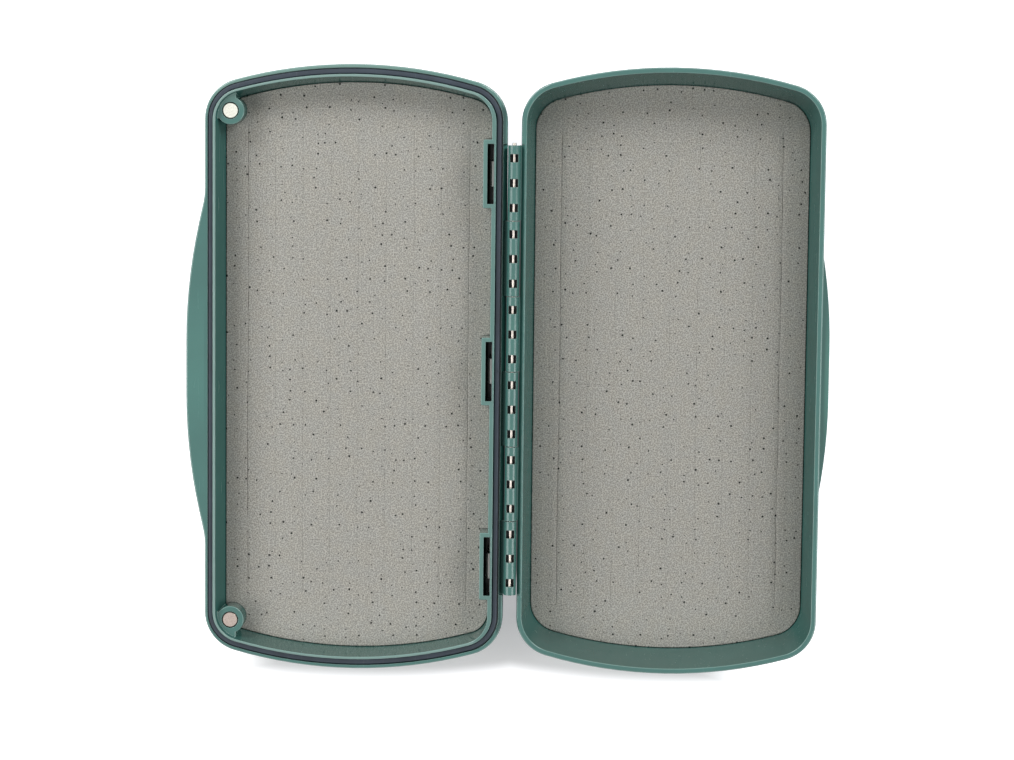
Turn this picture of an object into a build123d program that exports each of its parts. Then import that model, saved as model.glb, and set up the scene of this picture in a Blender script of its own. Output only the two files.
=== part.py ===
from math import sqrt
from build123d import *
import os

# Moulded clamshell fly box, laid open flat. All lengths in millimetres, +Z up.
# The base lies on the left with its underside centred on the origin, the lid on the
# right, and the hinge pin runs along Y between them.

# ---------------------------------------------------------------- driving dimensions
# Case outline, the same for both halves
case_length = 210.0
case_width = 104.0
half_depth = 22.0
end_bow_radius = 155.0
corner_radius = 14.0
floor_thickness = 2.0
underside_round = 3.0

# Base: flange with a seal groove, raised lip, and a pocket for the foam
flange_height = 5.0
flange_round = 0.6
rim_wall_free = 1.0
rim_wall_hinge = 1.5
rim_wall_end = 1.25
groove_free = 1.85
groove_hinge = 2.3
groove_end = 2.2
groove_depth = 2.2
lip_free = 0.9
lip_hinge = 1.5
lip_end = 0.85
lip_rise = 1.2
lip_round = 0.25
lip_inner_round = 0.2
base_foam_drop = 8.5
base_pocket_inset_free = 6.2
base_pocket_inset_hinge = 5.4
base_pocket_inset_end = 6.1
base_wall = 2.2
base_draft_run = 0.6

# Lid: plain rim band and tapering wall
lid_band_height = 5.0
lid_band_proud = 0.6
lid_rim_width = 1.8
lid_rim_round = 0.6
lid_rim_inner_round = 0.3
lid_foam_drop = 16.0
lid_pocket_inset_side = 4.35
lid_pocket_inset_end = 6.0
lid_outer_inset_side = 3.0
lid_outer_inset_end = 4.8
lid_foam_corner = 11.0

# Finger tabs on the free sides
tab_reach = 6.5
tab_foot_from_end = 45.5
tab_crown_from_foot = 29.5
tab_crown_radius = 190.0
tab_root_radius = 25.0
tab_thickness = 3.2
tab_edge_round = 1.0
lid_tab_setback = 3.75
lid_tab_drop = 2.5
lid_tab_thickness = 2.5

# Hinge
hinge_gap = 4.8
closing_clearance = 0.2
knuckle_count = 6
hinge_from_end = 27.0
knuckle_gap = 0.25
knuckle_diameter = 4.3
web_thickness = 0.85
web_overlap = 1.0
base_web_below_pin = 1.5
lid_web_below_pin = 0.9
pin_diameter = 1.4
pin_clearance = 0.05
pin_end_proud = 0.7
window_width = 2.8
window_length = 2.8
window_below_pin = 0.3
window_pitch = 8.5
windows_per_knuckle = 3
base_bevel_width = 1.55
base_bevel_depth = 2.8
lid_bevel_width = 1.25
lid_bevel_depth = 0.9

# Magnets in the corner bosses
magnet_diameter = 5.3
magnet_thickness = 3.0
magnet_clearance = 0.25
magnet_recess = 0.1
magnet_from_side = 8.75
magnet_from_end = 16.4
boss_diameter = 9.6
boss_below_rim = 0.7
boss_round = 0.4
boss_web_side = 2.0
boss_web_end = 2.8

# Leaf sockets on the hinge side and their springs
socket_count = 3
socket_from_end = 37.0
slot_length = 20.6
slot_width = 2.3
slot_depth = 13.2
slot_into_lip = 0.8
socket_wall = 1.45
socket_corner = 0.6
socket_round = 0.3
fitting_root = 0.6
spring_thickness = 0.4
spring_below_lip = 4.4
tongue_below_lip = 1.4
spring_play = 0.3
spring_seat_clearance = 0.05
spring_rail = 2.2
spring_slit = 0.5
spring_corner = 1.5
bow_length = 8.6
bow_depth = 1.2

# Seal
seal_gap_free = 0.2
seal_gap_hinge = 0.45
seal_gap_end = 0.25
seal_inner_gap = 0.05
seal_below_rim = 0.1
seal_round = 0.45
splice_width = 0.25
splice_depth = 0.35

# Foam
foam_gap = 0.2
adhesive_thickness = 0.2
slit_pitch = 9.6
slit_count = 9
slit_width = 0.25
slit_depth_base = 7.0
slit_depth_lid = 2.6
slit_end_margin = 14.0

# ---------------------------------------------------------------- derived places
rim_z = half_depth
lip_z = rim_z + lip_rise
base_x = 0.0
lid_x = case_width + hinge_gap
hinge_x = case_width / 2 + hinge_gap / 2
hinge_z = rim_z + closing_clearance / 2
lip_outer_free = rim_wall_free + groove_free
lip_outer_hinge = rim_wall_hinge + groove_hinge
lip_outer_end = rim_wall_end + groove_end
lip_inner_x = case_width / 2 - lip_outer_hinge - lip_hinge
base_foam_top = rim_z - base_foam_drop
lid_foam_top = rim_z - lid_foam_drop
hinge_half_length = case_length / 2 - hinge_from_end
knuckle_pitch = 2 * hinge_half_length / knuckle_count
knuckle_length = knuckle_pitch - knuckle_gap
barrel_radius = knuckle_diameter / 2
pin_hole_radius = pin_diameter / 2 + pin_clearance
knuckle_middles = [hinge_half_length - (i + 0.5) * knuckle_pitch for i in range(knuckle_count)]
lid_knuckles = knuckle_middles[0::2]
base_knuckles = knuckle_middles[1::2]
window_offsets = [(i - (windows_per_knuckle - 1) / 2) * window_pitch for i in range(windows_per_knuckle)]
core_offsets = [(i - (windows_per_knuckle - 2) / 2) * window_pitch for i in range(windows_per_knuckle - 1)]
socket_pitch = 2 * (case_length / 2 - socket_from_end) / (socket_count - 1)
socket_middles = [(i - (socket_count - 1) / 2) * socket_pitch for i in range(socket_count)]
slot_x = lip_inner_x + slot_into_lip - slot_width / 2
magnet_x = -case_width / 2 + magnet_from_side
magnet_from_middle = case_length / 2 - magnet_from_end
magnet_places = [magnet_from_middle, -magnet_from_middle]
boss_z = rim_z - boss_below_rim
magnet_pocket_depth = magnet_thickness + magnet_recess

# Free-side, hinge-side and end insets of the base pocket as one width, length and shift
base_pocket_width = case_width - base_pocket_inset_free - base_pocket_inset_hinge
base_pocket_length = case_length - 2 * base_pocket_inset_end
base_pocket_shift = (base_pocket_inset_free - base_pocket_inset_hinge) / 2
lid_pocket_width = case_width - 2 * lid_pocket_inset_side
lid_pocket_length = case_length - 2 * lid_pocket_inset_end


# ---------------------------------------------------------------- outline helpers
def level(x, z):
    """Horizontal sketch plane, facing up."""
    return Plane(origin=(x, 0, z), x_dir=(1, 0, 0), z_dir=(0, 0, 1))


def level_down(x, z):
    """Horizontal sketch plane, facing down."""
    return Plane(origin=(x, 0, z), x_dir=(1, 0, 0), z_dir=(0, 0, -1))


def pillow(plane, width, length, corner):
    """Case outline: straight long sides, bowed ends and rounded corners."""
    side = width / 2
    apex = length / 2
    bow = end_bow_radius - (case_length - length) / 2
    shoulder = apex - bow + sqrt(bow**2 - side**2)
    with BuildSketch(plane) as outline:
        with BuildLine():
            Line((side, -shoulder), (side, shoulder))
            ThreePointArc((side, shoulder), (0, apex), (-side, shoulder))
            Line((-side, shoulder), (-side, -shoulder))
            ThreePointArc((-side, -shoulder), (0, -apex), (side, -shoulder))
        make_face()
        fillet(outline.vertices(), radius=corner)
    return outline.sketch


def inset_outline(plane, side_inset, end_inset):
    """Case outline drawn in from the edge by its own inset at the sides and at the ends."""
    width = case_width - 2 * side_inset
    length = case_length - 2 * end_inset
    return pillow(plane, width, length, corner_radius - side_inset)


def base_outline(z, free_inset, hinge_inset, end_inset):
    """Base outline drawn in by its own inset at the free side, the hinge side and the ends."""
    plane = level(base_x + (free_inset - hinge_inset) / 2, z)
    return inset_outline(plane, (free_inset + hinge_inset) / 2, end_inset)


def tab_outline(plane, setback, overlap):
    """Finger tab: a low crowned bump that runs into the side of the case."""
    reach = tab_reach - setback
    foot = case_length / 2 - tab_foot_from_end
    crest = foot - tab_crown_from_foot
    with BuildSketch(plane) as outline:
        with BuildLine():
            FilletPolyline(
                (-setback, -foot - tab_root_radius),
                (-setback, -foot),
                (reach, -crest),
                (reach, crest),
                (-setback, foot),
                (-setback, foot + tab_root_radius),
                radius=[tab_root_radius, tab_crown_radius, tab_crown_radius, tab_root_radius],
            )
            Polyline(
                (-setback, foot + tab_root_radius),
                (-setback - overlap, foot + tab_root_radius),
                (-setback - overlap, -foot - tab_root_radius),
                (-setback, -foot - tab_root_radius),
            )
        make_face()
    return outline.sketch


def boss_outline(plane, end_sign, margin):
    """Magnet boss with the web that ties it to the corner of the wall."""
    reach = boss_diameter
    with BuildSketch(plane) as outline:
        with Locations((magnet_x, end_sign * magnet_from_middle)):
            Circle(boss_diameter / 2 + margin)
        web_x = magnet_x + boss_web_side + margin - reach / 2
        web_y = end_sign * (magnet_from_middle - boss_web_end - margin + reach / 2)
        with Locations((web_x, web_y)):
            Rectangle(reach, reach)
    return outline.sketch


def socket_outline(plane, middle, margin):
    """Outside of a leaf socket, from its inner wall to the lip beside it."""
    inner_x = slot_x - slot_width / 2 - socket_wall - margin
    outer_x = lip_inner_x + lip_hinge / 2
    with BuildSketch(plane) as outline:
        with Locations(((inner_x + outer_x) / 2, middle)):
            Rectangle(outer_x - inner_x, slot_length + 2 * socket_wall + 2 * margin)
        fillet(outline.vertices().group_by(Axis.X)[0], radius=socket_corner)
    return outline.sketch


def knuckle_outline(plane, side, web_top):
    """Knuckle section in the XZ plane: barrel and the web back to its own half."""
    web_reach = hinge_gap / 2 + web_overlap
    with BuildSketch(plane) as outline:
        Circle(barrel_radius)
        with Locations((side * web_reach / 2, web_top - web_thickness / 2)):
            Rectangle(web_reach, web_thickness)
    return outline.sketch


def window_outline(side, middle, offsets):
    """Core windows of one knuckle, opening upward (side 1) or downward (side -1)."""
    start = hinge_z - side * (pin_diameter / 2 + window_below_pin)
    plane = Plane(origin=(hinge_x, middle, start), x_dir=(1, 0, 0), z_dir=(0, 0, side))
    with BuildSketch(plane) as windows:
        with Locations(*[(0, offset) for offset in offsets]):
            Rectangle(window_width, window_length)
    return windows.sketch


def hinge_section(y):
    """Sketch plane across the hinge at a place along it, with the pin at its origin."""
    return Plane(origin=(hinge_x, y, hinge_z), x_dir=(1, 0, 0), z_dir=(0, -1, 0))


def hinge_bevel(side, width, depth):
    """Slope cut along the edge of one half where the hinge swings, in the XZ plane."""
    top = -closing_clearance / 2
    edge = side * hinge_gap / 2
    beyond = 0.3
    with BuildSketch(hinge_section(hinge_half_length + knuckle_gap)) as bevel:
        with BuildLine():
            Polyline(
                (edge + side * width, top),
                (edge + side * width, top + 1),
                (edge - side * beyond, top + 1),
                (edge - side * beyond, top - depth * (1 + beyond / width)),
                close=True,
            )
        make_face()
    return bevel.sketch


# ---------------------------------------------------------------- base shell
base_body_width = base_pocket_width + 2 * base_wall
base_body_length = base_pocket_length + 2 * base_wall
base_pocket_corner = corner_radius - base_pocket_inset_free
base_body_corner = base_pocket_corner + base_wall
pocket_x = base_x + base_pocket_shift


def base_mouth(grow):
    """Opening inside the lip, at the lip's top."""
    return base_outline(
        lip_z,
        lip_outer_free + lip_free - grow,
        lip_outer_hinge + lip_hinge - grow,
        lip_outer_end + lip_end - grow,
    )


def base_seat(grow):
    """Straight-sided part of the base pocket, at the foam's top."""
    plane = level(pocket_x, base_foam_top)
    width = base_pocket_width + 2 * grow
    length = base_pocket_length + 2 * grow
    return pillow(plane, width, length, base_pocket_corner + grow)


def base_body(z, draft_run):
    """Outside of the narrower body under the flange."""
    width = base_body_width - 2 * draft_run
    length = base_body_length - 2 * draft_run
    return pillow(level(pocket_x, z), width, length, base_body_corner - draft_run)


# Magnet bosses and leaf sockets, trimmed to end inside the thickness of the wall
with BuildPart() as base_inside:
    loft(sections=[base_mouth(fitting_root), base_seat(fitting_root)], ruled=True)
    extrude(base_seat(fitting_root), amount=floor_thickness / 2 - base_foam_top)

with BuildPart() as base_fittings:
    for end_sign in (1, -1):
        boss = boss_outline(level(0, floor_thickness / 2), end_sign, 0)
        extrude(boss, amount=boss_z - floor_thickness / 2)
    boss_tops = base_fittings.faces().group_by(Axis.Z)[-1]
    fillet(boss_tops.edges(), radius=boss_round)
    for middle in socket_middles:
        socket = socket_outline(level(0, floor_thickness / 2), middle, 0)
        extrude(socket, amount=lip_z - floor_thickness / 2)
    socket_tops = base_fittings.faces().group_by(Axis.Z)[-1]
    fillet(socket_tops.edges().filter_by_position(Axis.X, 0, slot_x), radius=socket_round)
    add(base_inside.part, mode=Mode.INTERSECT)

with BuildPart() as base_shell:
    # Flange, finger tab and the narrower body under it
    extrude(inset_outline(level_down(base_x, rim_z), 0, 0), amount=flange_height)
    tab_plane = Plane(
        origin=(base_x - case_width / 2, 0, rim_z), x_dir=(-1, 0, 0), z_dir=(0, 0, -1)
    )
    extrude(tab_outline(tab_plane, 0, rim_wall_free), amount=tab_thickness)
    flange_top = base_shell.faces().sort_by(Axis.Z)[-1]
    fillet(flange_top.outer_wire().edges(), radius=flange_round)
    loft(sections=[base_body(rim_z - flange_height, 0), base_body(0, base_draft_run)], ruled=True)
    underside = base_shell.faces().sort_by(Axis.Z)[0]
    fillet(underside.outer_wire().edges(), radius=underside_round)

    # Raised lip
    lip_outside = base_outline(rim_z, lip_outer_free, lip_outer_hinge, lip_outer_end)
    extrude(lip_outside, amount=lip_rise)
    lip_top = base_shell.faces().sort_by(Axis.Z)[-1]
    fillet(lip_top.outer_wire().edges(), radius=lip_round)

    # Tapering mouth, then the straight pocket that holds the foam
    loft(sections=[base_mouth(0), base_seat(0)], ruled=True, mode=Mode.SUBTRACT)
    extrude(base_seat(0), amount=floor_thickness - base_foam_top, mode=Mode.SUBTRACT)
    lip_ring = base_shell.faces().sort_by(Axis.Z)[-1]
    fillet(lip_ring.inner_wires().edges(), radius=lip_inner_round)
    add(base_fittings.part)

    # Seal groove
    with BuildSketch() as groove:
        add(base_outline(0, rim_wall_free, rim_wall_hinge, rim_wall_end))
        add(base_outline(0, lip_outer_free, lip_outer_hinge, lip_outer_end), mode=Mode.SUBTRACT)
    groove_ring = groove.sketch.moved(Location((0, 0, rim_z)))
    extrude(groove_ring, amount=-groove_depth, mode=Mode.SUBTRACT)

    # Slope in the flange beside the hinge knuckles
    base_bevel = hinge_bevel(-1, base_bevel_width, base_bevel_depth)
    bevel_length = 2 * (hinge_half_length + knuckle_gap)
    extrude(base_bevel, amount=bevel_length, mode=Mode.SUBTRACT)

    # Hinge knuckles, the pin's hole and the windows left by the mould's cores
    for middle in base_knuckles:
        end_section = hinge_section(middle + knuckle_length / 2)
        section = knuckle_outline(end_section, -1, -base_web_below_pin)
        extrude(section, amount=knuckle_length)
    with BuildSketch(hinge_section(hinge_half_length)) as base_bore:
        Circle(pin_hole_radius)
    extrude(base_bore.sketch, amount=2 * hinge_half_length, mode=Mode.SUBTRACT)
    for middle in base_knuckles:
        extrude(window_outline(1, middle, window_offsets), amount=barrel_radius * 2, mode=Mode.SUBTRACT)
        extrude(window_outline(-1, middle, core_offsets), amount=barrel_radius * 2, mode=Mode.SUBTRACT)

    # Magnet pockets and leaf slots
    with BuildSketch(level(0, boss_z)) as magnet_pockets:
        with Locations(*[(magnet_x, y) for y in magnet_places]):
            Circle(magnet_diameter / 2 + magnet_clearance)
    extrude(magnet_pockets.sketch, amount=-magnet_pocket_depth, mode=Mode.SUBTRACT)
    with BuildSketch(level(0, lip_z)) as slots:
        with Locations(*[(slot_x, y) for y in socket_middles]):
            Rectangle(slot_width, slot_length)
    extrude(slots.sketch, amount=-slot_depth, mode=Mode.SUBTRACT)

base_shell.part.label = "base_shell"

# ---------------------------------------------------------------- lid shell
with BuildPart() as lid_shell:
    # Rim band, finger tab set below the rim, and the tapering body
    extrude(inset_outline(level_down(lid_x, rim_z), 0, 0), amount=lid_band_height)
    lid_rim = lid_shell.faces().sort_by(Axis.Z)[-1]
    fillet(lid_rim.outer_wire().edges(), radius=lid_rim_round)
    lid_tab_plane = Plane(
        origin=(lid_x + case_width / 2, 0, rim_z - lid_tab_drop), x_dir=(1, 0, 0), z_dir=(0, 0, -1)
    )
    extrude(tab_outline(lid_tab_plane, lid_tab_setback, 0.5), amount=lid_tab_thickness)
    lid_shoulder = inset_outline(
        level(lid_x, rim_z - lid_band_height), lid_band_proud, lid_band_proud
    )
    lid_foot = inset_outline(level(lid_x, 0), lid_outer_inset_side, lid_outer_inset_end)
    loft(sections=[lid_shoulder, lid_foot], ruled=True)
    lid_underside = lid_shell.faces().sort_by(Axis.Z)[0]
    fillet(lid_underside.outer_wire().edges(), radius=underside_round)

    # Tapering inside, then the shallow straight recess that holds the foam
    lid_mouth = inset_outline(level(lid_x, rim_z), lid_rim_width, lid_rim_width)
    lid_seat = pillow(
        level(lid_x, lid_foam_top), lid_pocket_width, lid_pocket_length, lid_foam_corner
    )
    loft(sections=[lid_mouth, lid_seat], ruled=True, mode=Mode.SUBTRACT)
    extrude(lid_seat, amount=floor_thickness - lid_foam_top, mode=Mode.SUBTRACT)
    lid_rim_ring = lid_shell.faces().sort_by(Axis.Z)[-1]
    fillet(lid_rim_ring.inner_wires().edges(), radius=lid_rim_inner_round)

    # Slope beside the knuckles, then the knuckles on the lid's side of the pin
    lid_bevel = hinge_bevel(1, lid_bevel_width, lid_bevel_depth)
    extrude(lid_bevel, amount=bevel_length, mode=Mode.SUBTRACT)
    for middle in lid_knuckles:
        end_section = hinge_section(middle + knuckle_length / 2)
        section = knuckle_outline(end_section, 1, -lid_web_below_pin)
        extrude(section, amount=knuckle_length)
    with BuildSketch(hinge_section(hinge_half_length)) as lid_bore:
        Circle(pin_hole_radius)
    extrude(lid_bore.sketch, amount=2 * hinge_half_length, mode=Mode.SUBTRACT)
    for middle in lid_knuckles:
        extrude(window_outline(1, middle, window_offsets), amount=barrel_radius * 2, mode=Mode.SUBTRACT)
        extrude(window_outline(-1, middle, core_offsets), amount=barrel_radius * 2, mode=Mode.SUBTRACT)

lid_shell.part.label = "lid_shell"

# ---------------------------------------------------------------- hinge pin
with BuildPart() as hinge_pin:
    with BuildSketch(hinge_section(hinge_half_length + pin_end_proud)) as pin_end:
        Circle(pin_diameter / 2)
    extrude(pin_end.sketch, amount=2 * hinge_half_length + pin_end_proud - knuckle_gap)
    chamfer(hinge_pin.edges().filter_by(GeomType.CIRCLE), length=0.2)

hinge_pin.part.label = "hinge_pin"

# ---------------------------------------------------------------- seal
with BuildPart() as seal:
    seal_free = rim_wall_free + seal_gap_free
    seal_hinge = rim_wall_hinge + seal_gap_hinge
    seal_end = rim_wall_end + seal_gap_end
    with BuildSketch() as seal_outline:
        add(base_outline(0, seal_free, seal_hinge, seal_end))
        add(
            base_outline(
                0,
                lip_outer_free - seal_inner_gap,
                lip_outer_hinge - seal_inner_gap,
                lip_outer_end - seal_inner_gap,
            ),
            mode=Mode.SUBTRACT,
        )
    seal_ring = seal_outline.sketch.moved(Location((0, 0, rim_z - groove_depth)))
    extrude(seal_ring, amount=groove_depth - seal_below_rim)
    fillet(seal.edges().group_by(Axis.Z)[-1], radius=seal_round)
    # Joint where the two ends of the cord meet, on the hinge side
    splice_x = case_width / 2 - rim_wall_hinge - groove_hinge / 2
    with BuildSketch(level(0, rim_z - seal_below_rim)) as splice:
        with Locations((splice_x, 0)):
            Rectangle(groove_hinge * 2, splice_width)
    extrude(splice.sketch, amount=-splice_depth, mode=Mode.SUBTRACT)

seal.part.label = "seal"


# ---------------------------------------------------------------- foam pads
def slit_outline(x, z, span):
    """Rows of narrow cuts that run the length of a foam pad."""
    with BuildSketch(level(x, z)) as slits:
        with GridLocations(slit_pitch, 0, slit_count, 1):
            Rectangle(slit_width, span)
    return slits.sketch


with BuildPart() as base_foam:
    foam_floor = floor_thickness
    foam_outline = pillow(
        level(pocket_x, foam_floor),
        base_pocket_width - 2 * foam_gap,
        base_pocket_length - 2 * foam_gap,
        base_pocket_corner - foam_gap,
    )
    extrude(foam_outline, amount=base_foam_top - foam_floor)
    for end_sign in (1, -1):
        notch = boss_outline(level(0, foam_floor), end_sign, foam_gap)
        extrude(notch, amount=base_foam_top, mode=Mode.SUBTRACT)
    for middle in socket_middles:
        notch = socket_outline(level(0, foam_floor), middle, foam_gap)
        extrude(notch, amount=base_foam_top, mode=Mode.SUBTRACT)
    base_slit_span = base_pocket_length - 2 * slit_end_margin
    base_slits = slit_outline(pocket_x, base_foam_top, base_slit_span)
    extrude(base_slits, amount=-slit_depth_base, mode=Mode.SUBTRACT)

base_foam.part.label = "base_foam"

with BuildPart() as lid_foam:
    lid_foam_outline = pillow(
        level(lid_x, floor_thickness),
        lid_pocket_width - 2 * foam_gap,
        lid_pocket_length - 2 * foam_gap,
        lid_foam_corner - foam_gap,
    )
    extrude(lid_foam_outline, amount=lid_foam_top - floor_thickness)
    lid_slit_span = lid_pocket_length - 2 * slit_end_margin
    lid_slits = slit_outline(lid_x, lid_foam_top, lid_slit_span)
    extrude(lid_slits, amount=-slit_depth_lid, mode=Mode.SUBTRACT)

lid_foam.part.label = "lid_foam"


# ---------------------------------------------------------------- magnets
def magnet_disc(y):
    """Disc magnet lying on the bottom of its pocket."""
    with BuildPart() as disc:
        with BuildSketch(level(0, boss_z - magnet_pocket_depth)) as face:
            with Locations((magnet_x, y)):
                Circle(magnet_diameter / 2)
        extrude(face.sketch, amount=magnet_thickness)
        chamfer(disc.edges().filter_by(GeomType.CIRCLE), length=0.2)
    return disc.part


# ---------------------------------------------------------------- leaf springs
def leaf_spring(middle):
    """Flat strip standing against the socket's wall, with a taller tongue bowed into the slot."""
    length = slot_length - 2 * spring_play
    strip_height = slot_depth - spring_below_lip
    tongue_height = slot_depth - tongue_below_lip
    back = slot_x + slot_width / 2 - spring_seat_clearance
    foot = lip_z - slot_depth
    end_plane = Plane(origin=(back, middle + length / 2, foot), x_dir=(1, 0, 0), z_dir=(0, -1, 0))
    tongue_start = middle + bow_length / 2
    tongue_plane = Plane(origin=(back, tongue_start, foot), x_dir=(1, 0, 0), z_dir=(0, -1, 0))
    mid_bow = (spring_rail + tongue_height) / 2
    with BuildPart() as leaf:
        with BuildSketch(end_plane) as strip:
            Rectangle(spring_thickness, strip_height, align=(Align.MAX, Align.MIN))
        extrude(strip.sketch, amount=length)
        fillet(leaf.edges().filter_by(Axis.X).group_by(Axis.Z)[-1], radius=spring_corner)
        with BuildSketch(Plane.XY.offset(foot + spring_rail)) as gap:
            with Locations((back, middle)):
                Rectangle(2 * spring_thickness, bow_length + 2 * spring_slit)
        extrude(gap.sketch, amount=strip_height, mode=Mode.SUBTRACT)
        with BuildSketch(tongue_plane) as tongue:
            with BuildLine():
                ThreePointArc((0, spring_rail - 0.3), (-bow_depth, mid_bow), (0, tongue_height))
                offset(amount=spring_thickness, side=Side.LEFT)
            make_face()
        extrude(tongue.sketch, amount=bow_length)
    return leaf.part


node_parts = {
    "base_shell": base_shell.part,
    "lid_shell": lid_shell.part,
    "hinge_pin": hinge_pin.part,
    "seal": seal.part,
    "base_foam": base_foam.part,
    "lid_foam": lid_foam.part,
    "magnet_upper": magnet_disc(magnet_places[0]),
    "magnet_lower": magnet_disc(magnet_places[1]),
    "leaf_spring_lower": leaf_spring(socket_middles[0]),
    "leaf_spring_middle": leaf_spring(socket_middles[1]),
    "leaf_spring_upper": leaf_spring(socket_middles[2]),
}

os.makedirs("parts", exist_ok=True)
for name, shape in node_parts.items():
    shape.label = name
    export_step(shape, f"parts/{name}.step")
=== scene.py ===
import math

import bmesh
import bpy
from bpy.props import FloatProperty, FloatVectorProperty, IntProperty, PointerProperty
from bpy.types import Operator, Panel, PropertyGroup
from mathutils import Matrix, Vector, noise


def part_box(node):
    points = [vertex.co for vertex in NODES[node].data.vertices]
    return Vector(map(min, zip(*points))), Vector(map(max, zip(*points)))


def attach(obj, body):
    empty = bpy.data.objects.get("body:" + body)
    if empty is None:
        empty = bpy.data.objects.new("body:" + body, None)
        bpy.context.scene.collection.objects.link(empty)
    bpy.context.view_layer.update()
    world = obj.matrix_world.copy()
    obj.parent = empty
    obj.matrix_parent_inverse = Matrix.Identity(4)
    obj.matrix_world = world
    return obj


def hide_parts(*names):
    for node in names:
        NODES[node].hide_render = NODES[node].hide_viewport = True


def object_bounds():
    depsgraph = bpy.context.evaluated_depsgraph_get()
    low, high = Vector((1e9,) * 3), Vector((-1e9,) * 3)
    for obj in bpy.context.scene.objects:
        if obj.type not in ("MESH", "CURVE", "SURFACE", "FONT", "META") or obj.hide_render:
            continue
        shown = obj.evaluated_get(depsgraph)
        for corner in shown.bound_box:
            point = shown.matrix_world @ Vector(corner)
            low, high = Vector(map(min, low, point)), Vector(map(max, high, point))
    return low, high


bl_info = {
    "name": "Fly Box Dressing",
    "version": (1, 0, 0),
    "blender": (4, 5, 0),
    "location": "View3D > Sidebar > Fly Box",
    "description": "Finishes, slit foam pads and studio for a moulded clamshell fly box",
    "category": "Object",
}

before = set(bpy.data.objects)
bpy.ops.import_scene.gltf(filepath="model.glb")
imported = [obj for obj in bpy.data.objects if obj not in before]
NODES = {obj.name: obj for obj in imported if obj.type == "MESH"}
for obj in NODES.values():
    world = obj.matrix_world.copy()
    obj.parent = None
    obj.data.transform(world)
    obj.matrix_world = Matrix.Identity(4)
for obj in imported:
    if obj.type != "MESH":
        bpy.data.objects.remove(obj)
CAD_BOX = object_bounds()
BASE_FOAM_LOW, BASE_FOAM_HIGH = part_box("base_foam")
LID_FOAM_LOW, LID_FOAM_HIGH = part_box("lid_foam")
SPRINGS = ("leaf_spring_upper", "leaf_spring_middle", "leaf_spring_lower")
MAGNETS = ("magnet_upper", "magnet_lower")
MM = 0.001

# Places in the frame that the finishes refer to
PIN_X = 54.4 * MM
PIN_Z = 22.1 * MM
LID_MIDDLE_X = 108.8 * MM
SLOT_X = 46.35 * MM
SLOT_HALF_WIDTH = 1.25 * MM
SLOT_HALF_LENGTH = 10.4 * MM
SLOT_FLOOR_Z = 9.6 * MM
SOCKET_SPACING = 68.0 * MM
HINGE_HALF_LENGTH = 78.0 * MM
BARREL_LENGTH = 26.0 * MM
WINDOWS_HALF_LENGTH = 77.8 * MM
WINDOW_HALF_WIDTH = 1.5 * MM
WINDOW_HALF_HEIGHT = 1.45 * MM
FLANGE_END_X = 51.0 * MM
LIP_FOOT_Z = 22.3 * MM
LIP_TOP_Z = 22.9 * MM

# How the plastic's colour changes from place to place: painted shade by the hinge, a painted glint on
# the base tab, a painted highlight on the far rim, and scuffs
HINGE_EDGE_SHADE_SHARE = 0.8
BASE_TAB_GLINT_SHARE = 0.25
FAR_RIM_HIGHLIGHT_COLOUR = (0.17, 0.31, 0.27)
SCUFF_GAIN = (1.45, 1.35, 1.35)
SCUFF_LIFT = 0.02

# Flecks of the foam: cells to the metre, share of cells that hold one, smallest and
# largest radius in cells, how strongly they show, and colour; the last are also pits
FOAM_FLECKS = (
    (330.0, 0.35, 0.04, 0.11, 0.16, (0.62, 0.61, 0.56)),
    (560.0, 0.68, 0.07, 0.16, 0.60, (0.13, 0.13, 0.118)),
    (255.0, 0.58, 0.05, 0.115, 0.96, (0.016, 0.017, 0.016)),
)


# -------------------- settings
def colour_setting(name, description, red, green, blue):
    """Colour property of a group of settings."""
    return FloatVectorProperty(
        name=name,
        description=description,
        subtype="COLOR",
        size=4,
        min=0.0,
        max=1.0,
        default=(red, green, blue, 1.0),
    )


def length_setting(name, description, millimetres):
    """Length property of a group of settings."""
    return FloatProperty(
        name=name, description=description, default=millimetres * MM, unit="LENGTH"
    )


def power_setting(name, description, watts):
    """Power property of a group of settings."""
    return FloatProperty(
        name=name, description=description, default=watts, min=0.0, max=50.0, unit="POWER"
    )


def share_setting(name, description, value, high=1.0):
    """Property that runs from nothing to a highest value."""
    return FloatProperty(name=name, description=description, default=value, min=0.0, max=high)


class ShellSettings(PropertyGroup):
    plastic_colour: colour_setting(
        "Plastic colour", "Body colour of the moulded halves", 0.042, 0.128, 0.113
    )
    # Painted light: faces that look up get this paler copy of the plastic's colour.
    upward_lit_colour: colour_setting(
        "Rim face colour", "Paler colour painted on faces that look up, as lit from above", 0.063, 0.186, 0.164
    )
    # Painted highlight: the base's lip is given this pale colour.
    lip_highlight_colour: colour_setting(
        "Lip highlight colour", "Painted highlight colour of the base's lip", 0.235, 0.37, 0.34
    )
    # Painted glint: the middle of the finger tabs is given this paler colour.
    tab_glint_colour: colour_setting(
        "Tab glint colour", "Painted glint on the middle of the finger tabs", 0.099, 0.28, 0.24
    )
    # Painted highlight: rounded and thin edges are given this pale colour.
    edge_highlight_colour: colour_setting(
        "Edge colour", "Painted highlight colour of the rounded and thin edges", 0.30, 0.46, 0.42
    )
    gloss_roughness: FloatProperty(
        name="Roughness",
        description="Roughness of the satin mould finish",
        default=0.22,
        min=0.05,
        max=1.0,
    )
    edge_softness: length_setting(
        "Edge softness", "Radius that the light sees on moulded edges", 0.34
    )
    seal_colour: colour_setting(
        "Seal colour", "Colour of the soft ring in the groove", 0.046, 0.060, 0.079
    )


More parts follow.
